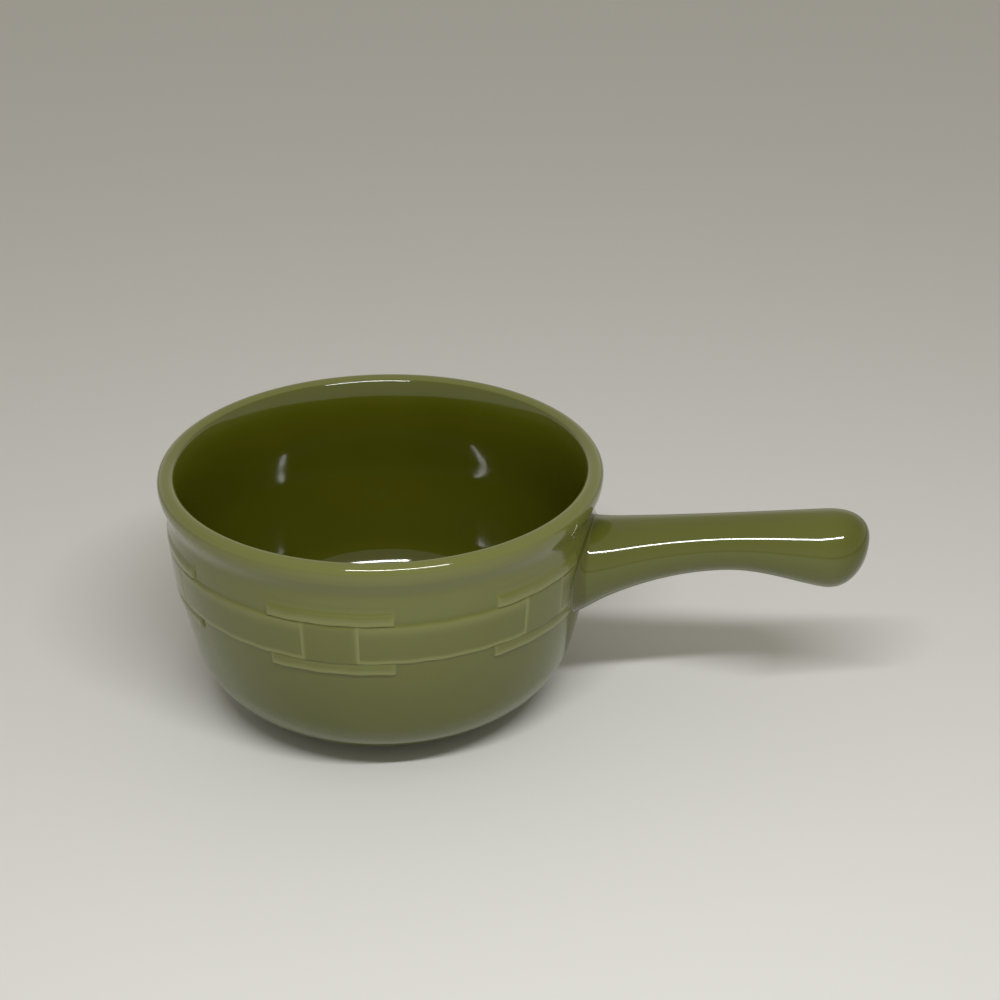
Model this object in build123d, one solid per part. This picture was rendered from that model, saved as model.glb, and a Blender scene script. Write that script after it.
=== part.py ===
from build123d import *
import math
import os

# A stoneware soup bowl with one stick handle, in millimetres.
# The bowl's axis is Z, the foot stands on Z = 0 and the handle points along +X.

# Bowl
RIM_DIAMETER = 140.0  # over the rounded rim
BOWL_HEIGHT = 80.8  # from the table to the crest of the rim
RIM_THICKNESS = 5.6  # across the half-round crest
RIM_OVERHANG = 2.4  # how far the rim stands out from the wall under it
RIM_FLANK = 7.0  # depth over which the rim sweeps back to the wall
WALL_SWEEP_RADIUS = 194.0  # the nearly upright upper wall
BELLY_RADIUS = 25.0  # the round turn from the wall to the underside
WALL_THICKNESS = 4.6  # wall and floor alike

# Foot
FOOT_DIAMETER = 69.0
FOOT_WIDTH = 6.0
FOOT_HEIGHT = 3.5
FOOT_EDGE_RADIUS = 1.2

# Basket-weave band: flat splints in relief on the wall
SPLINT_PITCHES = 6  # upright splints around the bowl
BAND_DROP = 17.6  # from the top of the wall to the middle of the band
WEAVER_HEIGHT = 13.2
WEAVER_LENGTH = 52.0  # one run; the upright splints fill what is left of each pitch
WEAVER_RELIEF = 0.8
UPRIGHT_RELIEF = 1.0
STRIP_HEIGHT = 3.5
STRIP_LENGTH = 37.8
STRIP_RELIEF = 1.2
SPLINT_GAP = 0.3  # between neighbouring splints, and beside the handle's root
SPLINT_EDGE_RADIUS = 0.4
SPLINT_SEAT = 0.05  # film of slip between a splint and the wall

# Handle: distances run outwards from the wall, along +X
HANDLE_LENGTH = 86.0
HANDLE_DROP = 5.4  # from the top of the wall to the handle's top line at the wall
HANDLE_RISE = 8.0  # degrees, slope of the straight top line
HANDLE_ROOT_HEIGHT = 29.0
HANDLE_ROOT_WIDTH = 30.0
HANDLE_WAIST_DISTANCE = 42.5
HANDLE_WAIST_HEIGHT = 17.0
HANDLE_WAIST_WIDTH = 20.0
HANDLE_END_HEIGHT = 26.0
HANDLE_END_WIDTH = 25.4
HANDLE_DOME_LENGTH = 14.0
DOME_SQUARENESS = 2.35  # 2 is a round dome, more is blunter
HANDLE_WALL = 4.0
FLARE_RUN = 12.0  # how far from the wall the root starts to spread
SIDE_FLARE = 5.0
TOP_FLARE = 0.8
BOTTOM_FLARE = 1.0
SHAFT_SQUARENESS = 2.0  # 2 is an oval section, more is squarer
ROOT_SQUARENESS = 3.0
SLIP_THICKNESS = 0.8  # clay slip that joins the handle to the wall
VENT_DIAMETER = 3.0  # lets steam out of the hollow handle in the kiln
VENT_DISTANCE = 18.0

# How finely the handle is lofted
SECTION_POINTS = 24
FLARE_STATIONS = 6
SHAFT_STATIONS = 8
DOME_STATIONS = 7
DOME_LAST_SHARE = 0.998  # the dome stops just short of its pole

rim_radius = RIM_DIAMETER / 2
wall_radius = rim_radius - RIM_OVERHANG
crest_radius = RIM_THICKNESS / 2
rim_inner_radius = rim_radius - RIM_THICKNESS
rim_side_z = BOWL_HEIGHT - crest_radius
wall_top_z = rim_side_z - RIM_FLANK
underside_z = FOOT_HEIGHT

# The outer wall is two arcs that meet in one tangent, the lower one tangent to the flat underside.
centre_distance = WALL_SWEEP_RADIUS - BELLY_RADIUS
belly_drop = wall_top_z - underside_z - BELLY_RADIUS
wall_turn = math.degrees(math.asin(belly_drop / centre_distance))
sweep_centre = Vector(wall_radius - WALL_SWEEP_RADIUS, wall_top_z)
belly_centre = sweep_centre + Vector(math.sqrt(centre_distance**2 - belly_drop**2), -belly_drop)

band_z = wall_top_z - BAND_DROP
splint_pitch = 360 / SPLINT_PITCHES
handle_top_z = wall_top_z - HANDLE_DROP
root_spread = HANDLE_ROOT_WIDTH / 2 + SIDE_FLARE


def sweep_angle(z):
    """Angle on the upper wall's arc, in degrees, at a height."""
    return -math.degrees(math.asin((wall_top_z - z) / WALL_SWEEP_RADIUS))


def sweep_radius(z):
    """Outer radius of the bare upper wall at a height."""
    return sweep_centre.X + WALL_SWEEP_RADIUS * math.cos(math.radians(sweep_angle(z)))


def wall_arcs(offset, start=0.0):
    """The wall's two arcs, from a start angle down to the underside, moved outwards by an offset."""
    sweep = CenterArc(sweep_centre, WALL_SWEEP_RADIUS + offset, start, -wall_turn - start)
    belly = CenterArc(belly_centre, BELLY_RADIUS + offset, -wall_turn, wall_turn - 90)
    return [sweep, belly]


def turned(edges, arc=360.0):
    """Solid turned about the bowl's axis from a closed outline in radius and height."""
    return revolve(Plane.XZ * make_face(edges), Axis.Z, arc)


def wall_core(offset):
    """Everything inside the wall's outer surface, moved outwards by an offset, up to the rim's crest."""
    sweep, belly = wall_arcs(offset)
    top = sweep @ 0
    bottom = belly @ 1
    rest = Polyline(bottom, (0, bottom.Y), (0, BOWL_HEIGHT), (top.X, BOWL_HEIGHT), top)
    return turned([sweep, belly, rest])


def bowl_body():
    """Turned bowl with a rounded rim. Its inside runs straight down from the rim to touch the inner arc."""
    rim_outside = Vector(rim_radius, rim_side_z)
    rim_inside = Vector(rim_inner_radius, rim_side_z)
    rim_crest = Vector(rim_radius - crest_radius, BOWL_HEIGHT)
    to_rim = rim_inside - sweep_centre
    touch_turn = math.acos((WALL_SWEEP_RADIUS - WALL_THICKNESS) / to_rim.length)
    touch_angle = math.degrees(math.atan2(to_rim.Y, to_rim.X) - touch_turn)
    outer_sweep, outer_belly = wall_arcs(0)
    inner_sweep, inner_belly = wall_arcs(-WALL_THICKNESS, touch_angle)
    wall_outside = outer_sweep @ 0
    neck = (rim_outside + wall_outside) / 2
    underside = outer_belly @ 1
    floor = inner_belly @ 1
    return turned(
        [
            ThreePointArc(rim_inside, rim_crest, rim_outside),
            TangentArc(rim_outside, neck, tangent=(0, -1)),
            TangentArc(wall_outside, neck, tangent=(0, 1)),
            outer_sweep,
            outer_belly,
            Polyline(underside, (0, underside.Y), (0, floor.Y), floor),
            inner_belly,
            inner_sweep,
            Line(inner_sweep @ 0, rim_inside),
        ]
    )


def foot_ring():
    """Unglazed ring that the bowl stands on."""
    outer = FOOT_DIAMETER / 2
    inner = outer - FOOT_WIDTH
    section = Polyline((inner, 0), (outer, 0), (outer, FOOT_HEIGHT), (inner, FOOT_HEIGHT), close=True)
    ring = turned([section])
    return fillet(ring.edges().group_by(Axis.Z)[0], FOOT_EDGE_RADIUS)


def on_sweep(radius, angle):
    """Point on a circle about the upper wall's centre, in radius and height."""
    return sweep_centre + Vector(radius, 0).rotate(Axis.Z, angle)


def splint(low_z, high_z, relief, start, end):
    """Flat splint on the wall between two heights and two angles, with rounded outer edges."""
    low = sweep_angle(low_z)
    high = sweep_angle(high_z)
    face_radius = WALL_SWEEP_RADIUS + relief
    side_radius = face_radius - SPLINT_EDGE_RADIUS
    edge_turn = math.degrees(SPLINT_EDGE_RADIUS / face_radius)
    low_side = on_sweep(side_radius, low)
    high_side = on_sweep(side_radius, high)
    seat = CenterArc(sweep_centre, WALL_SWEEP_RADIUS + SPLINT_SEAT, high, low - high)
    face = CenterArc(sweep_centre, face_radius, low + edge_turn, high - low - 2 * edge_turn)
    section = [
        seat,
        Line(seat @ 1, low_side),
        TangentArc(low_side, face @ 0, tangent=low_side - sweep_centre),
        face,
        TangentArc(high_side, face @ 1, tangent=high_side - sweep_centre),
        Line(high_side, seat @ 0),
    ]
    return Rot(0, 0, start) * turned(section, end - start)


def clear_of_handle(start, end, radius):
    """What the handle's root leaves of a turn, as pairs of angles between minus and plus a half turn."""
    covered = math.degrees(math.asin((root_spread + SPLINT_GAP) / radius))
    runs = [(start, min(end, -covered)), (max(start, covered), end)]
    return [(first, last) for first, last in runs if first < last]


def weave_band():
    """All splints of the band by name, ended beside the handle's root."""
    weaver_low = band_z - WEAVER_HEIGHT / 2
    weaver_high = band_z + WEAVER_HEIGHT / 2
    pitch_length = math.radians(splint_pitch) * sweep_radius(band_z)
    upright_width = pitch_length - WEAVER_LENGTH - 2 * SPLINT_GAP
    upper_low = weaver_high + SPLINT_GAP
    lower_high = weaver_low - SPLINT_GAP
    kinds = {
        "wide_weaver": (weaver_low, weaver_high, WEAVER_LENGTH, WEAVER_RELIEF, 0.0),
        "upright_splint": (weaver_low, weaver_high, upright_width, UPRIGHT_RELIEF, splint_pitch / 2),
        "upper_strip": (upper_low, upper_low + STRIP_HEIGHT, STRIP_LENGTH, STRIP_RELIEF, splint_pitch / 2),
        "lower_strip": (lower_high - STRIP_HEIGHT, lower_high, STRIP_LENGTH, STRIP_RELIEF, splint_pitch / 2),
    }
    band = {}
    for kind, (low_z, high_z, length, relief, first_angle) in kinds.items():
        radius = sweep_radius((low_z + high_z) / 2)
        half_turn = math.degrees(length / radius) / 2
        for index in range(SPLINT_PITCHES):
            middle = (first_angle + index * splint_pitch + 180) % 360 - 180
            runs = clear_of_handle(middle - half_turn, middle + half_turn, radius)
            pieces = [splint(low_z, high_z, relief, first, last) for first, last in runs]
            band[f"{kind}_{index + 1}"] = Part() + pieces
    return band


def handle_root_x():
    """Distance from the bowl's axis to the wall behind the middle of the handle's root."""
    return sweep_radius(handle_top_z - HANDLE_ROOT_HEIGHT / 2)


def flare(spread, distance):
    """How far the root stands out at a distance, where it spreads by a given width at and inside the wall."""
    return spread * max(1 - max(distance, 0) / FLARE_RUN, 0) ** 3


def handle_base(root, waist, end, distance):
    """Handle size between its root, its waist and its end, without flare and dome."""
    if distance < HANDLE_WAIST_DISTANCE:
        return waist + (root - waist) * (1 - max(distance, 0) / HANDLE_WAIST_DISTANCE) ** 2
    turn = (distance - HANDLE_WAIST_DISTANCE) / (HANDLE_LENGTH - HANDLE_WAIST_DISTANCE)
    return waist + (end - waist) * (1 - math.cos(math.pi * turn)) / 2


def oval(half_width, half_height, squareness):
    """Oval face whose corners fill out as its squareness grows."""
    points = []
    for index in range(SECTION_POINTS):
        angle = 2 * math.pi * index / SECTION_POINTS
        across = math.cos(angle)
        upward = math.sin(angle)
        reach = (abs(across) ** squareness + abs(upward) ** squareness) ** (-1 / squareness)
        points.append((half_width * reach * across, half_height * reach * upward))
    return make_face(Spline(*points, periodic=True))


def handle_section(distance, inset, root_x, setback):
    """Oval of the handle at a distance from the wall, drawn in by an inset."""
    height = handle_base(HANDLE_ROOT_HEIGHT, HANDLE_WAIST_HEIGHT, HANDLE_END_HEIGHT, distance)
    width = handle_base(HANDLE_ROOT_WIDTH, HANDLE_WAIST_WIDTH, HANDLE_END_WIDTH, distance)
    top_line = handle_top_z + distance * math.tan(math.radians(HANDLE_RISE))
    top = top_line + flare(TOP_FLARE, distance)
    bottom = top_line - height - flare(BOTTOM_FLARE, distance)
    half_width = width / 2 + flare(SIDE_FLARE, distance + setback) - inset
    half_height = (top - bottom) / 2 - inset
    dome_share = (distance - HANDLE_LENGTH + HANDLE_DOME_LENGTH) / (HANDLE_DOME_LENGTH - inset)
    shrink = (1 - max(dome_share, 0) ** DOME_SQUARENESS) ** (1 / DOME_SQUARENESS)
    squareness = SHAFT_SQUARENESS + flare(ROOT_SQUARENESS - SHAFT_SQUARENESS, distance)
    plane = Plane(origin=(root_x + distance, 0, (top + bottom) / 2), x_dir=(0, 1, 0), z_dir=(1, 0, 0))
    return plane * oval(half_width * shrink, half_height * shrink, squareness)


def handle_envelope(inset):
    """The handle's outer form, or its hollow at an inset, from inside the wall to the domed tip."""
    root_x = handle_root_x()
    setback = root_x - math.sqrt(root_x**2 - root_spread**2)
    buried = setback + SLIP_THICKNESS
    dome_start = HANDLE_LENGTH - HANDLE_DOME_LENGTH
    flare_step = (FLARE_RUN + buried) / FLARE_STATIONS
    stations = [index * flare_step - buried for index in range(FLARE_STATIONS)]
    shaft_step = (dome_start - FLARE_RUN) / SHAFT_STATIONS
    stations += [FLARE_RUN + index * shaft_step for index in range(SHAFT_STATIONS)]
    dome_turn = math.asin(DOME_LAST_SHARE) / (DOME_STATIONS - 1)
    dome_length = HANDLE_DOME_LENGTH - inset
    stations += [dome_start + dome_length * math.sin(index * dome_turn) for index in range(DOME_STATIONS)]
    return loft([handle_section(distance, inset, root_x, setback) for distance in stations])


def handle_vent():
    """Upright hole through the handle's underside into its hollow."""
    middle_z = handle_top_z - HANDLE_ROOT_HEIGHT / 2
    hole = Cylinder(VENT_DIAMETER / 2, HANDLE_ROOT_HEIGHT, align=(Align.CENTER, Align.CENTER, Align.MAX))
    return Pos(handle_root_x() + VENT_DISTANCE, 0, middle_z) * hole


def build():
    """All pieces by name."""
    shell = handle_envelope(0) - handle_envelope(HANDLE_WALL) - handle_vent()
    wall = wall_core(0)
    slip_core = wall_core(SLIP_THICKNESS)
    pieces = {
        "bowl_body": bowl_body(),
        "foot_ring": foot_ring(),
        "handle": shell - slip_core,
        "handle_slip": shell & (slip_core - wall),
    }
    pieces.update(weave_band())
    return pieces


os.makedirs("parts", exist_ok=True)
for name, piece in build().items():
    export_step(piece, f"parts/{name}.step")
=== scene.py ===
"""A glazed stoneware soup bowl with a stick handle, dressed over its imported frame."""

import logging
import math
from collections.abc import Callable, Sequence
from dataclasses import dataclass
from enum import Enum

import bpy
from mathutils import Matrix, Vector


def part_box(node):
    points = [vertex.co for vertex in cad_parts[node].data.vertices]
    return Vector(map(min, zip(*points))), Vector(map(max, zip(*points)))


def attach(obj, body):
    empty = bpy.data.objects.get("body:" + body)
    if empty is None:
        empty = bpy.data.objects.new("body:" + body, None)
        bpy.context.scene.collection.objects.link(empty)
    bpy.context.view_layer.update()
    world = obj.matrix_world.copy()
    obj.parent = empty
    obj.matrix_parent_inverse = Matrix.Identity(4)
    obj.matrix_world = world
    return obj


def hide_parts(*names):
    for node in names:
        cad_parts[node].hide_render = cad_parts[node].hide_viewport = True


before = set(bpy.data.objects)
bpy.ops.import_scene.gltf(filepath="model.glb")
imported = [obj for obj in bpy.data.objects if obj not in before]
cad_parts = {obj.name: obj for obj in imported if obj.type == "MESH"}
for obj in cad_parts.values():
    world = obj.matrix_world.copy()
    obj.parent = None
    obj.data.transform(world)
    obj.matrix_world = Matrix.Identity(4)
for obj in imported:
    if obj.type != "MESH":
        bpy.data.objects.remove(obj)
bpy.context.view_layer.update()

MM = 0.001
# Per-point value that pales or darkens the glaze: thin and pooled glaze, and painted light and shade.
CURVE_ATTRIBUTE = "glaze_and_light_curve"
MERGE_DISTANCE = 0.001 * MM
POINT_SPACING = 1.0 * MM
POINT_TURN = 5.0
FULL_TURN = 2 * math.pi

Colour = tuple[float, float, float, float]

log = logging.getLogger("soup_bowl")


class Slot(Enum):
    """Material slots."""

    GLAZE = "glaze"
    BARE_CLAY = "bare_clay"


class SplintKind(Enum):
    """The four kinds of splint in the weave band, named as their nodes are."""

    WIDE_WEAVER = "wide_weaver"
    UPRIGHT = "upright_splint"
    UPPER_STRIP = "upper_strip"
    LOWER_STRIP = "lower_strip"

    @property
    def sample(self) -> str:
        """Node of this kind that lies square to an axis."""
        return f"{self.value}_4" if self is SplintKind.WIDE_WEAVER else f"{self.value}_2"


def smoother(share: float) -> float:
    """Ease from 0 to 1 with no slope and no bend at either end."""
    t = min(max(share, 0.0), 1.0)
    return t * t * t * (t * (6 * t - 15) + 10)


def nearest_turn(angle: float) -> float:
    """The same angle, in radians, within half a turn of 0."""
    return (angle + math.pi) % FULL_TURN - math.pi


def shares(spans: float) -> list[float]:
    """Even shares from 0 to 1, with at least as many spans as asked for."""
    count = math.ceil(spans)
    return [index / count for index in range(count + 1)]


def arc_points(centre: Vector, radius: float, start: float, end: float) -> list[Vector]:
    """Points along an arc in radius and height.

    Args:
        centre: Centre of the arc.
        radius: Radius of the arc.
        start: First angle in degrees.
        end: Last angle in degrees.

    Returns:
        The points, both ends included.
    """
    turn = end - start
    spans = max(abs(turn) / POINT_TURN, abs(math.radians(turn)) * radius / POINT_SPACING)
    angles = [math.radians(start + turn * share) for share in shares(spans)]
    return [centre + radius * Vector((math.cos(angle), math.sin(angle))) for angle in angles]


def eased_points(start: Vector, end: Vector) -> list[Vector]:
    """Points of an S-shaped line that is upright at both ends.

    Args:
        start: First point in radius and height.
        end: Last point.

    Returns:
        The points, both ends included.
    """
    step = end - start
    return [
        start + Vector((step.x * smoother(share), step.y * share))
        for share in shares(step.length / POINT_SPACING)
    ]


def bezier(start: Vector, first: Vector, second: Vector, end: Vector, share: float) -> Vector:
    """Point of a smooth curve between two ends.

    Args:
        start: First end.
        first: Point that the curve leaves towards.
        second: Point that the curve arrives from.
        end: Last end.
        share: 0 at the first end and 1 at the last.

    Returns:
        The point.
    """
    far = 1 - share
    leaving = start * far**3 + first * (3 * far**2 * share)
    return leaving + second * (3 * far * share**2) + end * share**3


def edge_stops(low: float, high: float, edges: Sequence[tuple[float, float]], coarse: float) -> list[float]:
    """Positions along a line, close together across each soft edge and wider apart between edges.

    Args:
        low: First position.
        high: Last position.
        edges: Place and softness of each edge.
        coarse: Wide spacing.

    Returns:
        The positions in order, both ends included.
    """
    spans = 5
    finest = min(soft for _, soft in edges) / spans
    stops = [low]
    while stops[-1] < high - finest / 2:
        step = coarse
        for place, soft in edges:
            fine = soft / spans
            step = min(step, max(abs(stops[-1] - place) - soft, 0.0) + fine)
        stops.append(stops[-1] + step)
    stops[-1] = high
    return stops


def start_alone() -> None:
    """Leave edit mode and deselect everything."""
    if bpy.context.object and bpy.context.object.mode != "OBJECT":
        bpy.ops.object.mode_set(mode="OBJECT")
    bpy.ops.object.select_all(action="DESELECT")


def close_up(piece: bpy.types.Object) -> None:
    """Merge doubled points of a piece and turn its faces outwards.

    Args:
        piece: The piece, active and in object mode.
    """
    bpy.ops.object.mode_set(mode="EDIT")
    bpy.ops.mesh.select_all(action="SELECT")
    bpy.ops.mesh.remove_doubles(threshold=MERGE_DISTANCE)
    bpy.ops.mesh.normals_make_consistent(inside=False)
    bpy.ops.object.mode_set(mode="OBJECT")


def lathe(name: str, section: Sequence[Vector], segments: int) -> bpy.types.Object:
    """Turn a section about the bowl's axis.

    Args:
        name: Name of the new piece.
        section: Points in radius and height.
        segments: Number of steps round the axis.

    Returns:
        The turned piece.
    """
    start_alone()
    bpy.ops.mesh.primitive_plane_add(size=MM)
    piece = bpy.context.object
    piece.name = piece.data.name = name
    bpy.ops.object.mode_set(mode="EDIT")
    bpy.ops.mesh.merge(type="CENTER")
    bpy.ops.transform.translate(value=(section[0].x, 0.0, section[0].y))
    for here, there in zip(section, section[1:]):
        step = there - here
        bpy.ops.mesh.extrude_region_move(TRANSFORM_OT_translate={"value": (step.x, 0.0, step.y)})
    bpy.ops.mesh.select_all(action="SELECT")
    bpy.ops.mesh.spin(steps=segments, angle=FULL_TURN, center=(0, 0, 0), axis=(0, 0, 1))
    close_up(piece)
    return piece


def mapped_grid(name: str, columns: int, rows: int, place: Callable[[int, int], Vector]) -> bpy.types.Object:
    """Lay a flat grid over a surface.

    Args:
        name: Name of the new piece.
        columns: Number of faces across.
        rows: Number of faces along.
        place: Gives the place of the point in a column and a row.

    Returns:
        The shaped grid.
    """
    start_alone()
    bpy.ops.mesh.primitive_grid_add(x_subdivisions=columns, y_subdivisions=rows, size=2)
    piece = bpy.context.object
    piece.name = piece.data.name = name
    for vertex in piece.data.vertices:
        column = round((vertex.co.x + 1) / 2 * columns)
        row = round((vertex.co.y + 1) / 2 * rows)
        vertex.co = place(column, row)
    return piece


def smooth(piece: bpy.types.Object, crease: float) -> None:
    """Shade a piece smooth, with its sharp edges kept.

    Args:
        piece: The piece.
        crease: Angle in degrees above which an edge stays sharp.
    """
    start_alone()
    piece.select_set(True)
    bpy.context.view_layer.objects.active = piece
    bpy.ops.object.shade_smooth_by_angle(angle=math.radians(crease))


def write_curve(piece: bpy.types.Object, bend: Callable[[Vector], float]) -> None:
    """Store on each point how far the glaze colour is paled (above 0) or darkened (below 0) there, by thin
    or pooled glaze and by painted light and shade.
    """
    layer = piece.data.attributes.new(CURVE_ATTRIBUTE, "FLOAT", "POINT")
    layer.data.foreach_set("value", [bend(vertex.co) for vertex in piece.data.vertices])


def hand_in(piece: bpy.types.Object, finish: bpy.types.Material, slot: Slot, nodes: Sequence[str]) -> None:
    """Dress a finished piece and tie it to the frame.

    Args:
        piece: The finished piece.
        finish: Its material.
        slot: The slot for it; not used.
        nodes: The frame's nodes that it stands for.
    """
    piece.data.materials.clear()
    piece.data.materials.append(finish)
    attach(piece, "root")
    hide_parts(*nodes)
    log.info("%s stands for %s, %d faces", piece.name, ", ".join(nodes), len(piece.data.polygons))


class NodeBench:
    """Adds and links the nodes of one tree."""

    def __init__(self, tree: bpy.types.NodeTree) -> None:
        """Take the tree to work on."""
        self.tree = tree

    def add(self, kind: str, **inputs: float | Sequence[float]) -> bpy.types.Node:
        """Add a node.

        Args:
            kind: Node type without its ShaderNode prefix.
            inputs: Values by socket name, with spaces written as underscores.

        Returns:
            The new node.
        """
        node = self.tree.nodes.new("ShaderNode" + kind)
        for name, value in inputs.items():
            node.inputs[name.replace("_", " ")].default_value = value
        return node

    def link(self, source: bpy.types.NodeSocket, target: bpy.types.NodeSocket) -> None:
        """Link two sockets."""
        self.tree.links.new(source, target)

    def feed(
        self,
        target: bpy.types.NodeSocket,
        source: bpy.types.NodeSocket | Colour | float,
    ) -> None:
        """Link a socket to a target, or set a constant on it.

        Args:
            target: The socket to feed.
            source: A socket, a colour or a number.
        """
        if isinstance(source, bpy.types.NodeSocket):
            self.link(source, target)
        else:
            target.default_value = source

    def math(
        self,
        operation: str,
        first: bpy.types.NodeSocket,
        second: bpy.types.NodeSocket | float,
        clamp: bool = False,
    ) -> bpy.types.NodeSocket:
        """Add a sum, product or other simple operation.

        Args:
            operation: Blender's name of the operation.
            first: Its first value.
            second: Its second value.
            clamp: Whether the result is kept from 0 to 1.

        Returns:
            The result.
        """
        node = self.add("Math")
        node.operation = operation
        node.use_clamp = clamp
        self.feed(node.inputs[0], first)
        self.feed(node.inputs[1], second)
        return node.outputs[0]

    def mix(
        self,
        share: bpy.types.NodeSocket,
        first: bpy.types.NodeSocket,
        second: bpy.types.NodeSocket | Colour,
    ) -> bpy.types.NodeSocket:
        """Mix two colours.

        Args:
            share: 0 for the first colour and 1 for the second.
            first: First colour.
            second: Second colour.

        Returns:
            The mixed colour.
        """
        node = self.add("Mix")
        node.data_type = "RGBA"
        factor, start, end = (node.inputs[index] for index in (0, 6, 7))
        self.feed(factor, share)
        self.feed(start, first)
        self.feed(end, second)
        return node.outputs[2]

    def ramp(
        self,
        value: bpy.types.NodeSocket,
        span: tuple[float, float],
        low: Colour,
        high: Colour,
    ) -> bpy.types.NodeSocket:
        """Add a ramp between two colours.

        Args:
            value: The value that picks the colour.
            span: Values at which the low and the high colour are reached.
            low: Colour at the low value.
            high: Colour at the high value.

        Returns:
            The picked colour.
        """
        node = self.add("ValToRGB")
        for stop, place, colour in zip(node.color_ramp.elements, span, (low, high)):
            stop.position = place
            stop.color = colour
        self.link(value, node.inputs["Fac"])
        return node.outputs["Color"]

    def relief(
        self,
        place: bpy.types.NodeSocket,
        scale: float,
        detail: float,
        height: float,
    ) -> bpy.types.NodeSocket:
        """Add a fine noisy relief.

        Args:
            place: Coordinates.
            scale: Scale of the noise.
            detail: Detail of the noise.
            height: Height of the relief.

        Returns:
            The bent normal.
        """
        noise = self.add("TexNoise", Scale=scale, Detail=detail)
        self.link(place, noise.inputs["Vector"])
        bump = self.add("Bump", Strength=1.0, Distance=height)
        self.link(noise.outputs["Fac"], bump.inputs["Height"])
        return bump.outputs["Normal"]


def new_group(
    name: str,
    inputs: dict[str, str],
    outputs: dict[str, str],
) -> tuple[NodeBench, bpy.types.Node, bpy.types.Node]:
    """Start a shader node group.

    Args:
        name: Name of the group.
        inputs: Socket types by input name.
        outputs: Socket types by output name.

    Returns:
        A bench on the group's tree, its input node and its output node.
    """
    tree = bpy.data.node_groups.new(name, "ShaderNodeTree")
    for side, sockets in (("INPUT", inputs), ("OUTPUT", outputs)):
        for socket, kind in sockets.items():
            tree.interface.new_socket(name=socket, in_out=side, socket_type="NodeSocket" + kind)
    return NodeBench(tree), tree.nodes.new("NodeGroupInput"), tree.nodes.new("NodeGroupOutput")


@dataclass(frozen=True)
class MottleEffect:
    """Cloudy variation in a fired surface, broad and fine together, as a mask about one half."""

    name: str = "fired_mottle"
    detail: float = 4.0
    roughness: float = 0.55

    def build(self) -> bpy.types.NodeTree:
        """Make the group, or find it if it is there.

        Returns:
            The group.
        """
        found = bpy.data.node_groups.get(self.name)
        if found:
            return found
        bench, source, sink = new_group(
            self.name,
            {"Vector": "Vector", "Broad Scale": "Float", "Fine Scale": "Float"},
            {"Broad": "Float", "Fine": "Float"},
        )
        for scale, outlet in (("Broad Scale", "Broad"), ("Fine Scale", "Fine")):
            noise = bench.add("TexNoise", Detail=self.detail, Roughness=self.roughness)
            bench.link(source.outputs["Vector"], noise.inputs["Vector"])
            bench.link(source.outputs[scale], noise.inputs["Scale"])
            bench.link(noise.outputs["Fac"], sink.inputs[outlet])
        return bench.tree

    def put(
        self,
        bench: NodeBench,
        place: bpy.types.NodeSocket,
        broad: float,
        fine: float,
    ) -> bpy.types.Node:
        """Put the effect into a material.

        Args:
            bench: Bench of the material.
            place: Coordinates.
            broad: Scale of the broad clouds.
            fine: Scale of the fine clouds.

        Returns:
            The group's node.
        """
        node = bench.add("Group")
        node.node_tree = self.build()
        bench.link(place, node.inputs["Vector"])
        node.inputs["Broad Scale"].default_value = broad
        node.inputs["Fine Scale"].default_value = fine
        return node


@dataclass(frozen=True)
class GlazeAndLightEffect:
    """Glaze that runs thin and pale over edges and pools dark in grooves, with painted light and shade where
    the curve asks for it.
    """

    name: str = "drawn_glaze_and_light"

    def build(self) -> bpy.types.NodeTree:
        """Make the group, or find it if it is there.

        Returns:
            The group.
        """
        found = bpy.data.node_groups.get(self.name)
        if found:
            return found
        bench, source, sink = new_group(
            self.name,
            {"Glaze": "Color", "Thin And Lit": "Color", "Darkened": "Color", "Curve": "Float"},
            {"Color": "Color"},
        )
        thin_and_lit = bench.math("MULTIPLY", source.outputs["Curve"], 1.0, clamp=True)
        darkened = bench.math("MULTIPLY", source.outputs["Curve"], -1.0, clamp=True)
        drawn_and_lit = bench.mix(thin_and_lit, source.outputs["Glaze"], source.outputs["Thin And Lit"])
        bench.link(bench.mix(darkened, drawn_and_lit, source.outputs["Darkened"]), sink.inputs["Color"])
        return bench.tree


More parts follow.
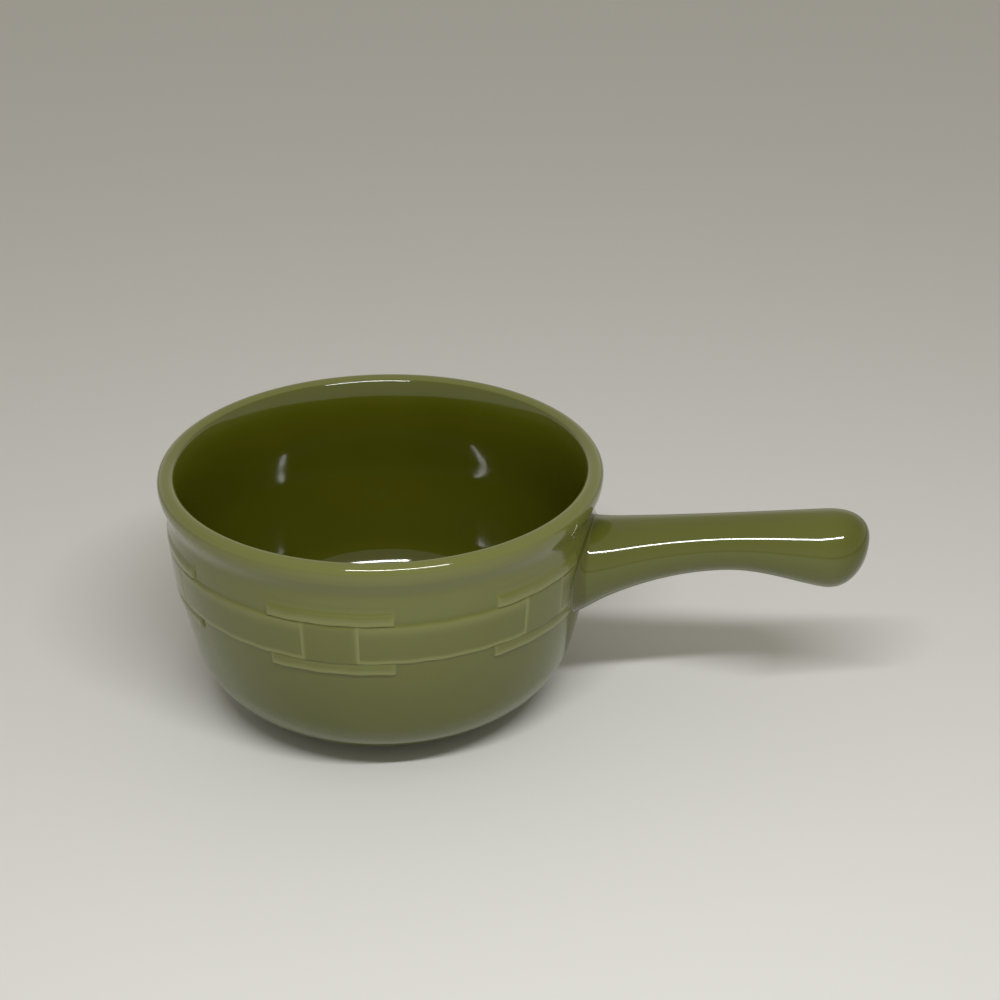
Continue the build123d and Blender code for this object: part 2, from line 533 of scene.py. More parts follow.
@dataclass(frozen=True)
class SageGlaze:
    """Glossy olive-green glaze over stoneware."""

    name: str = "sage_glaze"
    light: Colour = (0.087, 0.0965, 0.0050, 1.0)
    dark: Colour = (0.075, 0.0835, 0.0035, 1.0)
    # Pale colour, for thin glaze over edges and for painted light on the upper outer wall and along the
    # splints' top and bottom edges.
    thin_and_lit: Colour = (0.20, 0.212, 0.06, 1.0)
    # Dark colour, for glaze pooled in hollows and for painted shade over the inside of the bowl and in the
    # handle's fillet.
    darkened: Colour = (0.058, 0.051, 0.0015, 1.0)
    tone_span: tuple[float, float] = (0.3, 0.7)
    broad_scale: float = 22.0
    fine_scale: float = 420.0
    roughness: tuple[float, float] = (0.045, 0.085)
    ripple_scale: float = 90.0
    ripple_detail: float = 1.0
    ripple_height: float = 0.02 * MM
    ior: float = 1.58

    def build(self) -> bpy.types.Material:
        """Make the material.

        Returns:
            The material.
        """
        material = bpy.data.materials.new(self.name)
        material.use_nodes = True
        bench = NodeBench(material.node_tree)
        shader = material.node_tree.nodes["Principled BSDF"]
        shader.inputs["IOR"].default_value = self.ior
        place = bench.add("TexCoord").outputs["Object"]

        mottle = MottleEffect().put(bench, place, self.broad_scale, self.fine_scale)
        tone = bench.ramp(mottle.outputs["Broad"], self.tone_span, self.dark, self.light)

        curve = bench.add("Attribute")
        curve.attribute_name = CURVE_ATTRIBUTE
        drawn_and_lit = bench.add("Group")
        drawn_and_lit.node_tree = GlazeAndLightEffect().build()
        drawn_and_lit.inputs["Thin And Lit"].default_value = self.thin_and_lit
        drawn_and_lit.inputs["Darkened"].default_value = self.darkened
        bench.link(tone, drawn_and_lit.inputs["Glaze"])
        bench.link(curve.outputs["Fac"], drawn_and_lit.inputs["Curve"])
        bench.link(drawn_and_lit.outputs["Color"], shader.inputs["Base Color"])

        gloss = bench.add("MapRange", To_Min=self.roughness[0], To_Max=self.roughness[1])
        bench.link(mottle.outputs["Fine"], gloss.inputs["Value"])
        bench.link(gloss.outputs["Result"], shader.inputs["Roughness"])

        ripple = bench.relief(place, self.ripple_scale, self.ripple_detail, self.ripple_height)
        bench.link(ripple, shader.inputs["Normal"])
        return material


@dataclass(frozen=True)
class BareClay:
    """Unglazed buff stoneware with iron specks, and glaze above an uneven line."""

    name: str = "bare_foot_clay"
    clay: Colour = (0.56, 0.44, 0.31, 1.0)
    speck: Colour = (0.22, 0.14, 0.08, 1.0)
    glaze: Colour = (0.086, 0.092, 0.007, 1.0)
    glaze_line: float = 1.6 * MM
    line_waver: float = 0.7 * MM
    line_blur: float = 0.1 * MM
    waver_scale: float = 150.0
    speck_scale: float = 900.0
    speck_span: tuple[float, float] = (0.30, 0.42)
    grain_scale: float = 1600.0
    grain_detail: float = 3.0
    grain_height: float = 0.02 * MM
    clay_roughness: float = 0.85
    glaze_roughness: float = 0.1

    def build(self) -> bpy.types.Material:
        """Make the material.

        Returns:
            The material.
        """
        material = bpy.data.materials.new(self.name)
        material.use_nodes = True
        bench = NodeBench(material.node_tree)
        shader = material.node_tree.nodes["Principled BSDF"]
        place = bench.add("TexCoord").outputs["Object"]

        mottle = MottleEffect().put(bench, place, self.waver_scale, self.speck_scale)
        clay = bench.ramp(mottle.outputs["Fine"], self.speck_span, self.speck, self.clay)

        height = bench.add("SeparateXYZ")
        bench.link(place, height.inputs[0])
        waver = bench.add("MapRange", To_Min=-self.line_waver, To_Max=self.line_waver)
        bench.link(mottle.outputs["Broad"], waver.inputs["Value"])
        line = bench.math("ADD", height.outputs["Z"], waver.outputs["Result"])
        glazed = bench.add(
            "MapRange",
            From_Min=self.glaze_line - self.line_blur,
            From_Max=self.glaze_line + self.line_blur,
        )
        bench.link(line, glazed.inputs["Value"])
        colour = bench.mix(glazed.outputs["Result"], clay, self.glaze)
        bench.link(colour, shader.inputs["Base Color"])
        gloss = bench.add("MapRange", To_Min=self.clay_roughness, To_Max=self.glaze_roughness)
        bench.link(glazed.outputs["Result"], gloss.inputs["Value"])
        bench.link(gloss.outputs["Result"], shader.inputs["Roughness"])

        grain = bench.relief(place, self.grain_scale, self.grain_detail, self.grain_height)
        bench.link(grain, shader.inputs["Normal"])
        return material


@dataclass(frozen=True)
class WallForm:
    """Section of the turned bowl, in radius and height."""

    rim_radius: float
    height: float
    underside: float
    rim_thickness: float = 5.6 * MM
    rim_overhang: float = 2.4 * MM
    rim_flank: float = 7.0 * MM
    neck_drop: float = 3.0 * MM
    lip_flare: float = 19.0
    lip_depth: float = 32.0 * MM
    lip_pull: float = 13.0 * MM
    lip_ease: float = 9.0 * MM
    floor_dish: float = 3.5
    sweep: float = 194.0 * MM
    belly: float = 25.0 * MM
    thickness: float = 4.6 * MM

    @classmethod
    def from_frame(cls) -> "WallForm":
        """Take the overall sizes from the frame."""
        low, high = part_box("bowl_body")
        return cls(rim_radius=high.y, height=high.z, underside=low.z)

    @property
    def wall_radius(self) -> float:
        """Outer radius at the top of the wall."""
        return self.rim_radius - self.rim_overhang

    @property
    def rim_side(self) -> float:
        """Height at which the half-round crest starts."""
        return self.height - self.rim_thickness / 2

    @property
    def wall_top(self) -> float:
        """Height at which the wall is upright."""
        return self.rim_side - self.rim_flank

    @property
    def sweep_centre(self) -> Vector:
        """Centre of the upper wall's arc."""
        return Vector((self.wall_radius - self.sweep, self.wall_top))

    @property
    def turn(self) -> float:
        """Angle of the upper wall's arc in degrees, down to the belly."""
        drop = self.wall_top - self.underside - self.belly
        return math.degrees(math.asin(drop / (self.sweep - self.belly)))

    @property
    def belly_centre(self) -> Vector:
        """Centre of the belly's arc.

        Returns:
            The centre in radius and height.
        """
        angle = math.radians(self.turn)
        reach = self.sweep - self.belly
        return self.sweep_centre + Vector((math.cos(angle), -math.sin(angle))) * reach

    def radius_at(self, z: float) -> float:
        """Outer radius of the upper wall at a height."""
        return self.sweep_centre.x + math.sqrt(self.sweep**2 - (z - self.wall_top) ** 2)

    def wall_point(self, angle: float, z: float) -> Vector:
        """Point on the upper wall at an angle in radians and a height."""
        radius = self.radius_at(z)
        return Vector((radius * math.cos(angle), radius * math.sin(angle), z))

    def wall_normal(self, angle: float, z: float) -> Vector:
        """Outward direction of the upper wall.

        Args:
            angle: Angle round the axis in radians.
            z: Height.

        Returns:
            The direction, of length 1.
        """
        outward = (self.radius_at(z) - self.sweep_centre.x) / self.sweep
        upward = (z - self.wall_top) / self.sweep
        return Vector((outward * math.cos(angle), outward * math.sin(angle), upward))

    def outer_radius(self, z: float) -> float:
        """Outer radius of the bare wall or belly.

        Args:
            z: Height.

        Returns:
            The radius.
        """
        drop = self.belly_centre.y - z
        if drop < self.belly * math.sin(math.radians(self.turn)):
            return self.radius_at(z)
        return self.belly_centre.x + math.sqrt(max(self.belly**2 - drop**2, 0.0))

    def lip_points(self, start: Vector, end: Vector, upward: Vector) -> list[Vector]:
        """Curve from the crest's inner side down to the inner wall, with no corner at either end.

        Args:
            start: Point where the crest ends.
            end: Point where the inner wall starts.
            upward: Direction of the inner wall there.

        Returns:
            The points, both ends included.
        """
        flare = math.radians(self.lip_flare)
        first = start + Vector((-math.sin(flare), -math.cos(flare))) * self.lip_pull
        second = end + upward.normalized() * self.lip_ease
        spans = (end - start).length / POINT_SPACING
        return [bezier(start, first, second, end, share) for share in shares(spans)]

    def section(self) -> list[Vector]:
        """Closed section from the axis under the floor, round the rim and back to the axis.

        Returns:
            Points in radius and height.
        """
        inner_sweep = self.sweep - self.thickness
        inner_belly = self.belly - self.thickness
        crest_centre = Vector((self.rim_radius - self.rim_thickness / 2, self.rim_side))
        outer_side = Vector((self.rim_radius, self.rim_side))
        neck_foot = Vector((self.radius_at(self.wall_top - self.neck_drop), self.wall_top - self.neck_drop))
        neck_turn = -math.degrees(math.asin(self.neck_drop / self.sweep))
        lip_turn = -math.degrees(math.asin((self.lip_depth - self.rim_flank) / inner_sweep))
        half_floor = self.belly_centre.x / 2
        points = [Vector((0.0, self.underside)), Vector((half_floor, self.underside))]
        points += arc_points(self.belly_centre, self.belly, -90, -self.turn)
        points += arc_points(self.sweep_centre, self.sweep, -self.turn, neck_turn)[1:]
        points += eased_points(neck_foot, outer_side)[1:]
        points += arc_points(crest_centre, self.rim_thickness / 2, 0, 180 - self.lip_flare)[1:]
        inside = arc_points(self.sweep_centre, inner_sweep, lip_turn, -self.turn)
        points += self.lip_points(points[-1], inside[0], inside[0] - inside[1])[1:]
        points += inside[1:]
        dish_edge = self.floor_dish - 90
        points += arc_points(self.belly_centre, inner_belly, -self.turn, dish_edge)[1:]
        dish_radius = points[-1].x / math.sin(math.radians(self.floor_dish))
        dish_centre = Vector((0.0, points[-1].y + dish_radius * math.cos(math.radians(self.floor_dish))))
        points += arc_points(dish_centre, dish_radius, dish_edge, -90)[1:]
        return points


@dataclass(frozen=True)
class HandleForm:
    """Outer surface of the stick handle and of the fillet where it meets the wall."""

    wall: WallForm
    tip: float
    drop: float = 5.4 * MM
    rise: float = 8.0
    root_height: float = 28.0 * MM
    root_width: float = 31.5 * MM
    waist_distance: float = 42.5 * MM
    waist_height: float = 17.4 * MM
    waist_width: float = 20.0 * MM
    end_height: float = 26.0 * MM
    end_width: float = 25.4 * MM
    end_slant: float = 8.0
    dome_length: float = 14.0 * MM
    dome_squareness: float = 2.35
    root_squareness: float = 2.3
    square_run: float = 12.0 * MM
    side_run: float = 2.0 * MM
    top_run: float = 1.2 * MM
    bottom_run: float = 1.6 * MM
    side_fillet: float = 2.4 * MM
    top_fillet: float = 2.0 * MM
    bottom_fillet: float = 2.0 * MM
    fullness: float = 0.55

    @classmethod
    def from_frame(cls, wall: WallForm) -> "HandleForm":
        """Take the reach from the frame."""
        return cls(wall=wall, tip=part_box("handle")[1].x)

    @property
    def top_at_wall(self) -> float:
        """Height of the straight top line at the wall."""
        return self.wall.wall_top - self.drop

    @property
    def root_x(self) -> float:
        """Distance from the axis to the wall behind the middle of the root."""
        return self.wall.radius_at(self.top_at_wall - self.root_height / 2)

    @property
    def length(self) -> float:
        """Length from the wall to the tip."""
        return self.tip - self.root_x

    def size_at(self, distance: float, root: float, waist: float, end: float) -> float:
        """Height or width of the shaft.

        Args:
            distance: Distance from the wall.
            root: Size at the wall.
            waist: Size at the waist.
            end: Size at the tip.

        Returns:
            The size at the distance.
        """
        if distance < self.waist_distance:
            return waist + (root - waist) * (1 - distance / self.waist_distance) ** 2
        share = (distance - self.waist_distance) / (self.length - self.waist_distance)
        return waist + (end - waist) * (1 - math.cos(math.pi * share)) / 2

    def outline(self, distance: float, turn: float) -> Vector:
        """Point of the section at a distance.

        Args:
            distance: Distance from the wall.
            turn: Angle round the section in radians, from the +Y side upwards.

        Returns:
            The point.
        """
        height = self.size_at(distance, self.root_height, self.waist_height, self.end_height)
        width = self.size_at(distance, self.root_width, self.waist_width, self.end_width)
        top = self.top_at_wall + distance * math.tan(math.radians(self.rise))
        dome_share = min(max((distance - self.length) / self.dome_length + 1, 0.0), 1.0)
        shrink = (1 - dome_share**self.dome_squareness) ** (1 / self.dome_squareness)
        square = 2 + (self.root_squareness - 2) * max(1 - max(distance, 0) / self.square_run, 0) ** 3
        across = math.cos(turn)
        upward = math.sin(turn)
        reach = (abs(across) ** square + abs(upward) ** square) ** (-1 / square) * shrink
        above = height / 2 * reach * upward
        slant = above * math.tan(math.radians(self.end_slant)) * dome_share
        return Vector((self.root_x + distance + slant, width / 2 * reach * across, top - height / 2 + above))

    def onto_wall(self, y: float, z: float) -> tuple[Vector, Vector]:
        """Point on the wall behind a place in the section's plane, and the wall's direction there."""
        angle = math.asin(y / self.wall.radius_at(z))
        return self.wall.wall_point(angle, z), self.wall.wall_normal(angle, z)

    def around(self, turn: float, side: float, top: float, bottom: float) -> float:
        """Value at an angle round the section, between its side, top and bottom values."""
        upward = math.sin(turn)
        return side + ((top if upward > 0 else bottom) - side) * upward**2

    def fillet_width(self, turn: float) -> float:
        """How far the fillet spreads over the wall, by the angle round the section."""
        return self.around(turn, self.side_fillet, self.top_fillet, self.bottom_fillet)

    def fillet_run(self, turn: float) -> float:
        """How far the fillet runs out along the shaft, by the angle round the section."""
        return self.around(turn, self.side_run, self.top_run, self.bottom_run)

    def wall_ring(self, turn: float) -> tuple[Vector, Vector]:
        """Where the fillet ends on the wall.

        Args:
            turn: Angle round the section in radians.

        Returns:
            The point and the wall's direction there.
        """
        step = 1e-3
        corner = self.outline(0.0, turn)
        along = self.outline(0.0, turn + step) - self.outline(0.0, turn - step)
        away = Vector((0.0, along.z, -along.y)).normalized() * self.fillet_width(turn)
        return self.onto_wall(corner.y + away.y, corner.z + away.z)

    def fillet(self, turn: float, share: float) -> Vector:
        """Point of the fillet between the wall and the shaft.

        Args:
            turn: Angle round the section in radians.
            share: 0 on the wall and 1 on the shaft.

        Returns:
            The point.
        """
        step = 0.05 * MM
        run = self.fillet_run(turn)
        shaft = self.outline(run, turn)
        back = (self.outline(run - step, turn) - shaft) / step
        corner_outline = self.outline(0.0, turn)
        corner, _ = self.onto_wall(corner_outline.y, corner_outline.z)
        rest, normal = self.wall_ring(turn)
        inward = corner - rest
        inward -= normal * inward.dot(normal)
        pull = back * (shaft.x - corner.x) * self.fullness
        return bezier(rest, rest + inward * self.fullness, shaft + pull, shaft, share)

    def cover(self, y: float, z: float) -> float:
        """How far a place on the wall lies from the root's middle.

        Args:
            y: Place across the handle.
            z: Height.

        Returns:
            0 in the middle and 1 where the fillet ends.
        """
        half = self.root_height / 2
        middle = self.top_at_wall - half
        tall = half + (self.top_fillet if z > middle else self.bottom_fillet)
        wide = self.root_width / 2 + self.side_fillet
        square = self.root_squareness
        return ((abs(y) / wide) ** square + (abs(z - middle) / tall) ** square) ** (1 / square)


@dataclass(frozen=True)
class GlazeAndLightCoat:
    """How the glaze colour is shifted: above 0 pale, from thin glaze and painted light; below 0 dark, from
    thick glaze and painted shade.
    """

    # Painted light up the outer wall and at the neck under the rim.
    wall_painted_light: float = 0.43
    wall_low: float = 2.0 * MM
    wall_run: float = 66.0 * MM
    neck_painted_light: float = 0.08
    neck_low: float = 54.0 * MM
    neck_run: float = 12.0 * MM
    lip_thin: float = 0.14
    lip_run: float = 16.0 * MM
    # Painted shade over the inside of the bowl.
    inside: float = -0.3
    handle_thin: float = 0.2
    # Pooled glaze and painted shade in the handle's fillet.
    fillet: float = -0.3

    def outside(self, z: float) -> float:
        """Painted light on the outer wall at a height: paler towards the top, and most at the neck, under
        the rim's shade.
        """
        wall = self.wall_painted_light * smoother((z - self.wall_low) / self.wall_run)
        return wall + self.neck_painted_light * smoother((z - self.neck_low) / self.neck_run)


@dataclass
class TurnedBowl:
    """The bowl itself: wall, floor and rounded rim."""

    wall: WallForm
    coat: GlazeAndLightCoat
    segments: int = 256
    crease: float = 60.0

    def glaze_and_light_bend(self, point: Vector) -> float:
        """Glaze drawn thin over the lip, painted shade inside and painted light up the outer wall.

        Args:
            point: Point of the bowl.

        Returns:
            The coat there, above 0 where pale.
        """
        wall = self.wall
        radius = math.hypot(point.x, point.y)
        floor_middle = wall.underside + wall.thickness / 2
        if point.z > wall.rim_side - wall.rim_flank / 2 and radius > wall.wall_radius - wall.thickness / 2:
            return self.coat.outside(point.z) + self.coat.lip_thin
        if point.z > floor_middle and radius < wall.outer_radius(point.z) - wall.thickness / 2:
            # Painted shade inside, easing in from the lip.
            share = smoother((wall.height - point.z) / self.coat.lip_run)
            return self.coat.lip_thin + (self.coat.inside - self.coat.lip_thin) * share
        return self.coat.outside(point.z)

    def build(self) -> bpy.types.Object:
        """Turn the bowl.

        Returns:
            The bowl.
        """
        bowl = lathe("bowl_shell", self.wall.section(), self.segments)
        write_curve(bowl, self.glaze_and_light_bend)
        smooth(bowl, self.crease)
        return bowl

    def dress(self, finish: bpy.types.Material) -> None:
        """Build the bowl in its glaze."""
        hand_in(self.build(), finish, Slot.GLAZE, ["bowl_body"])


@dataclass
class FootRing:
    """The bare ring that the bowl stands on."""

    segments: int = 192
    edge: float = 1.2 * MM
    width: float = 6.0 * MM
    root: float = 0.8 * MM
    bury: float = 0.3 * MM
    crease: float = 50.0

    def build(self) -> bpy.types.Object:
        """Turn the ring.

        Returns:
            The ring.
        """
        low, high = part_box("foot_ring")
        outer = high.y
        inner = outer - self.width
        top = high.z + self.bury
        section = [Vector((inner - self.root, top))]
        section += arc_points(Vector((inner - self.root, high.z - self.root)), self.root, 90, 0)
        section += arc_points(Vector((inner + self.edge, low.z + self.edge)), self.edge, 180, 270)
        section += arc_points(Vector((outer - self.edge, low.z + self.edge)), self.edge, 270, 360)
        section += arc_points(Vector((outer + self.root, high.z - self.root)), self.root, 180, 90)
        section += [Vector((outer + self.root, top)), Vector((inner - self.root, top))]
        ring = lathe("foot", section, self.segments)
        smooth(ring, self.crease)
        return ring

    def dress(self, finish: bpy.types.Material) -> None:
        """Build the ring in its bare clay."""
        hand_in(self.build(), finish, Slot.BARE_CLAY, ["foot_ring"])


@dataclass(frozen=True)
class SplintStyle:
    """How one kind of splint stands out, where the glaze runs thin or pools on it, and where light is
    painted along its top and bottom edges.
    """

    relief: float
    lift: float
    top_soft: float = 2.0 * MM
    body_thin: float = 0.0
    bottom_thin_and_sheen: float = 0.0
    bottom_width: float = 3.2 * MM
    end_thin: float = 0.0
    end_width: float = 2.0 * MM
    top_thin_and_lit: float = 0.0
    top_width: float = 4.5 * MM
    top_pool: float = 0.0
    pool_width: float = 2.4 * MM


# Strips: pale bottom edge, thin glaze with a painted reflection of the floor.
STRIP_STYLE = SplintStyle(
    relief=0.74 * MM, lift=0.030 * MM, body_thin=0.1, bottom_thin_and_sheen=0.75, end_thin=0.4
)
STYLES = {
    SplintKind.WIDE_WEAVER: SplintStyle(
        relief=0.55 * MM,
        lift=0.005 * MM,
        top_soft=0.9 * MM,
        # Painted floor reflection along the bottom edge and painted light along the top edge, over thin
        # glaze.
        bottom_thin_and_sheen=1.0,
        bottom_width=2.3 * MM,
        top_thin_and_lit=0.4,
        top_pool=0.18,
    ),
    SplintKind.UPRIGHT: SplintStyle(relief=0.66 * MM, lift=0.018 * MM, end_thin=0.8),
    SplintKind.UPPER_STRIP: STRIP_STYLE,
    SplintKind.LOWER_STRIP: STRIP_STYLE,
}


@dataclass(frozen=True)
class Splint:
    """One run of a splint on the wall: where it lies and its style."""

    start: float
    end: float
    low: float
    high: float
    style: SplintStyle


@dataclass
class WeaveBand:
    """The basket-weave band: soft splints in relief that share one glazed skin."""

    wall: WallForm
    handle: HandleForm
    coat: GlazeAndLightCoat
    pitches: int = 6
    low_soft: float = 0.45 * MM
    side_soft: float = 0.55 * MM
    waver: float = 0.1 * MM
    waves: int = 37
    coarse: float = 1.2 * MM
    union: float = 5.0
    overlap: float = 0.12 * MM
    dive: float = 0.8
    backing: float = 0.7 * MM
    fade: float = 0.14
    bend_step: float = 0.3 * MM
    pool_scale: float = 0.025 * MM
    crease: float = 60.0

    def __post_init__(self) -> None:
        """Lay out every splint from the places of its node in the frame."""
        low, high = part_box(SplintKind.UPRIGHT.sample)
        self.radius = self.wall.radius_at((low.z + high.z) / 2)
        self.layout = {
            (kind, index): self.runs_of(kind, index)
            for kind in SplintKind
            for index in range(1, self.pitches + 1)
        }
        self.all_runs = [run for runs in self.layout.values() for run in runs]

    def runs_of(self, kind: SplintKind, index: int) -> list[Splint]:
        """Runs of one splint, ended where the handle's fillet covers it.

        Args:
            kind: Kind of splint.
            index: Its number in the band.

        Returns:
            One run, or two where the handle parts it.
        """
        low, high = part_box(kind.sample)
        half = math.asin(self.half_span(kind) / self.radius)
        pitch = FULL_TURN / self.pitches
        first = 0.0 if kind is SplintKind.WIDE_WEAVER else pitch / 2
        centre = nearest_turn(first + (index - 1) * pitch)
        covered = math.asin((self.handle.root_width / 2 + self.handle.side_fillet) / self.radius)
        spans = [(centre - half, min(centre + half, -covered)), (max(centre - half, covered), centre + half)]
        return [Splint(start, end, low.z, high.z, STYLES[kind]) for start, end in spans if start < end]

    def half_span(self, kind: SplintKind) -> float:
        """Half of a splint's width, straight across.

        Args:
            kind: Kind of splint.

        Returns:
            Half the width of its sample node.
        """
        low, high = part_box(kind.sample)
        if kind is SplintKind.WIDE_WEAVER:
            return (high.y - low.y) / 2
        return (high.x - low.x) / 2

    def inside(self, run: Splint, angle: float, z: float) -> tuple[float, float, float]:
        """How far a place lies inside the edges of a run.

        Args:
            run: The run.
            angle: Angle round the axis in radians.
            z: Height.

        Returns:
            Distances from the nearer end, the bottom and the top.
        """
        aside = nearest_turn(angle - (run.start + run.end) / 2)
        level = z + self.waver * math.sin(self.waves * angle + run.low / MM)
        from_end = ((run.end - run.start) / 2 - abs(aside)) * self.radius
        return from_end, level - run.low, run.high - level

    def run_height(self, run: Splint, angle: float, z: float) -> float:
        """Height of one run above the wall: crisp below and at its ends, softer above.

        Args:
            run: The run.
            angle: Angle round the axis in radians.
            z: Height.

        Returns:
            The height of the relief.
        """
        from_end, from_bottom, from_top = self.inside(run, angle, z)
        ends = smoother((from_end / self.side_soft + 1) / 2)
        bottom = smoother((from_bottom / self.low_soft + 1) / 2)
        top = smoother((from_top / run.style.top_soft + 1) / 2)
        return run.style.relief * ends * bottom * top

    def thin_and_lit(self, run: Splint, angle: float, z: float) -> float:
        """How pale a run is: thin glaze over its body and along its edges, with painted light along its top
        and bottom edges.

        Args:
            run: The run.
            angle: Angle round the axis in radians.
            z: Height.

        Returns:
            0 for the full coat and 1 for the palest.
        """
        from_end, from_bottom, from_top = self.inside(run, angle, z)
        style = run.style
        ends = style.end_thin * (1 - smoother(from_end / style.end_width))
        # Painted reflection of the floor along the bottom edge, over thin glaze.
        bottom = style.bottom_thin_and_sheen * (1 - smoother(from_bottom / style.bottom_width))
        # Painted light along the top edge, over thin glaze.
        top = style.top_thin_and_lit * (1 - smoother(from_top / style.top_width))
        standing = self.run_height(run, angle, z) / style.relief * self.shown(angle, z)
        return max(style.body_thin, ends, bottom, top) * standing

    def ledge(self, run: Splint, angle: float, z: float) -> float:
        """How far the glaze pools on the wall just above a run.

        Args:
            run: The run.
            angle: Angle round the axis in radians.
            z: Height.

        Returns:
            0 for the full coat and more where it pools.
        """
        from_end, _, from_top = self.inside(run, angle, z)
        style = run.style
        above = 1 - smoother(-from_top / style.pool_width)
        below = 1 - smoother(from_top / style.top_soft)
        ends = smoother(from_end / style.pool_width)
        return style.top_pool * above * below * ends * self.shown(angle, z)

    def shown(self, angle: float, z: float) -> float:
        """How much of the relief the handle's fillet leaves standing.

        Args:
            angle: Angle round the axis in radians.
            z: Height.

        Returns:
            The share of the relief.
        """
        if math.cos(angle) < 0:
            return 1.0
        cover = self.handle.cover(self.wall.radius_at(z) * math.sin(angle), z)
        return smoother((cover - 1) / self.fade)

    def skin(self, runs: Sequence[Splint], angle: float, z: float) -> float:
        """Height of the shared skin over the wall, softly joining the runs."""
        total = sum(self.run_height(run, angle, z) ** self.union for run in runs)
        return total ** (1 / self.union) * self.shown(angle, z)

    def pool(self, runs: Sequence[Splint], angle: float, z: float) -> float:
        """How far the glaze pools where the skin is hollow.

        Args:
            runs: Runs near the place.
            angle: Angle round the axis in radians.
            z: Height.

        Returns:
            0 for the full coat and more where it pools.
        """
        step = self.bend_step
        turn = step / self.radius
        around = (
            self.skin(runs, angle + turn, z)
            + self.skin(runs, angle - turn, z)
            + self.skin(runs, angle, z + step)
            + self.skin(runs, angle, z - step)
            - 4 * self.skin(runs, angle, z)
        )
        return max(around, 0.0) / step**2 * self.pool_scale

    def neighbours(self, run: Splint) -> list[Splint]:
        """Find the runs whose soft edges reach into a run's.

        Args:
            run: The run.

        Returns:
            The runs near it, itself included.
        """
        reach = 2 * self.side_soft / self.radius
        near = []
        for other in self.all_runs:
            aside = abs(nearest_turn((other.start + other.end - run.start - run.end) / 2))
            if aside < (other.end - other.start + run.end - run.start) / 2 + reach:
                near.append(other)
        return near

    def lay(self, name: str, run: Splint) -> bpy.types.Object:
        """Lay one run on the wall as a closed skin with a thin back.

        Args:
            name: Name of the piece.
            run: The run.

        Returns:
            The piece.
        """
        near = self.neighbours(run)
        others = [other for other in near if other is not run]
        margin = self.side_soft / self.radius
        laps = (-FULL_TURN, 0.0, FULL_TURN)
        ends = [(edge + lap, margin) for other in near for edge in (other.start, other.end) for lap in laps]
        turns = edge_stops(run.start - margin, run.end + margin, ends, self.coarse / self.radius)
        edges = [(other.low, self.low_soft) for other in near]
        edges += [(other.high, other.style.top_soft) for other in near]
        lowest = run.low - self.low_soft - self.waver
        highest = run.high + max(run.style.top_soft, run.style.pool_width) + self.waver
        heights = edge_stops(lowest, highest, edges, self.coarse)

        def place(column: int, row: int) -> Vector:
            """Place a point of the skin, sunk where a neighbour stands higher.

            Args:
                column: Number of the point round the axis.
                row: Number of the point upwards.

            Returns:
                The point.
            """
            angle, z = turns[column], heights[row]
            beside = max((self.run_height(other, angle, z) for other in others), default=0.0)
            sunk = max(beside - self.run_height(run, angle, z) - self.overlap, 0.0) * self.dive
            height = self.skin(near, angle, z) + run.style.lift - sunk
            return self.wall.wall_point(angle, z) + self.wall.wall_normal(angle, z) * height

        piece = mapped_grid(name, len(turns) - 1, len(heights) - 1, place)
        middle_turn = (run.start + run.end) / 2

        def point_bend(point: Vector) -> float:
            """Thin or pooled glaze at a point, with painted light along the run's top and bottom edges.

            Args:
                point: Point of the skin.

            Returns:
                The coat there, above 0 where pale.
            """
            angle = math.atan2(point.y, point.x)
            lap = round((middle_turn - angle) / FULL_TURN) * FULL_TURN
            thinned_and_lit = self.thin_and_lit(run, angle + lap, point.z)
            darkened = self.pool(near, angle + lap, point.z) + self.ledge(run, angle + lap, point.z)
            return self.coat.outside(point.z) + thinned_and_lit - darkened

        write_curve(piece, point_bend)
        bpy.ops.object.modifier_add(type="SOLIDIFY")
        back = piece.modifiers[-1]
        back.thickness = self.backing
        back.offset = -1.0
        bpy.ops.object.modifier_apply(modifier=back.name)
        smooth(piece, self.crease)
        return piece

    def dress(self, finish: bpy.types.Material) -> None:
        """Build every splint in the glaze, each for its own node."""
        for (kind, index), runs in self.layout.items():
            node = f"{kind.value}_{index}"
            parts = [self.lay(f"{node}_relief", run) for run in runs]
            start_alone()
            for part in parts:
                part.select_set(True)
            bpy.context.view_layer.objects.active = parts[0]
            if len(parts) > 1:
                bpy.ops.object.join()
            hand_in(parts[0], finish, Slot.GLAZE, [node])


